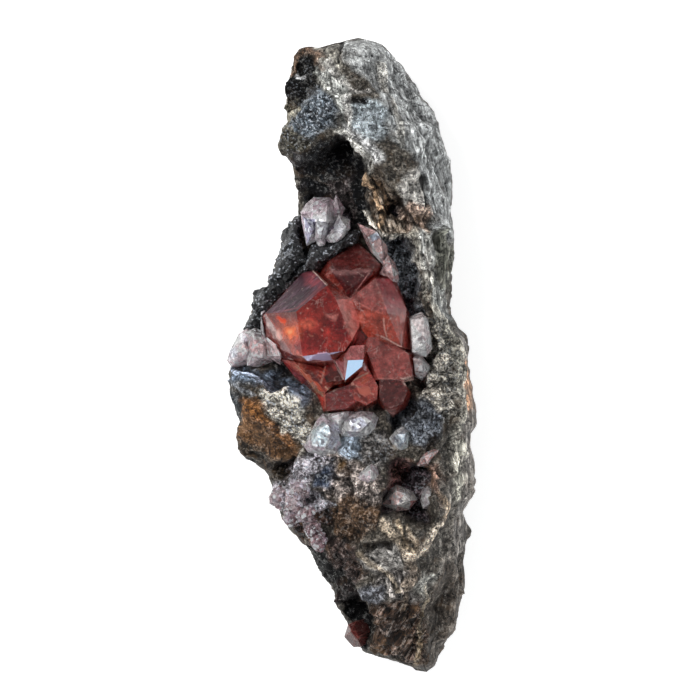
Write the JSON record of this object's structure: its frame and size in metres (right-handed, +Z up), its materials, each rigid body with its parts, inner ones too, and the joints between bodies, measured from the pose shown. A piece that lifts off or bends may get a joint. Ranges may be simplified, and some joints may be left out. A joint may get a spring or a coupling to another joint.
{
  "type": "rhodochrosite cluster",
  "caption": "Long piece of dark ore rock with a cluster of flat-faced red rhodochrosite crystals in its middle, ringed by pale quartz, lying flat on its back.",
  "frame": {"origin": "centre of the flat resting face on the underside, below the middle of the piece's box", "axes": "+Z up, out of the crystals; +Y along the piece, towards its broad blunt end; +X across it"},
  "size_m": [0.043, 0.1092, 0.033],
  "materials": {
    "ore_rock": "rough broken ore rock, grey and brown, with black and cream patches",
    "rhodochrosite": "clear red crystal with flat glossy and frosted faces",
    "pale_quartz": "cloudy pale pink quartz with glossy facets",
    "pink_crust": "cloudy pink quartz crust",
    "black_ore": "black ore crystals, glossy and speckled"
  },
  "bodies": {
    "root": {"matrix_rock": "ore_rock", "rhodochrosite_crystals": "rhodochrosite", "rhodochrosite_foot": "rhodochrosite", "black_ore_crystals": "black_ore", "quartz_top": "pale_quartz", "quartz_upper": "pale_quartz", "quartz_left": "pale_quartz", "quartz_right": "pale_quartz", "quartz_lower": "pale_quartz", "quartz_chip_right": "pale_quartz", "quartz_chip_middle": "pale_quartz", "quartz_vug_pink": "pale_quartz", "quartz_vug_clear": "pale_quartz", "quartz_vug_upper": "pale_quartz", "pink_quartz_crust": "pink_crust"}
  },
  "joints": []
}
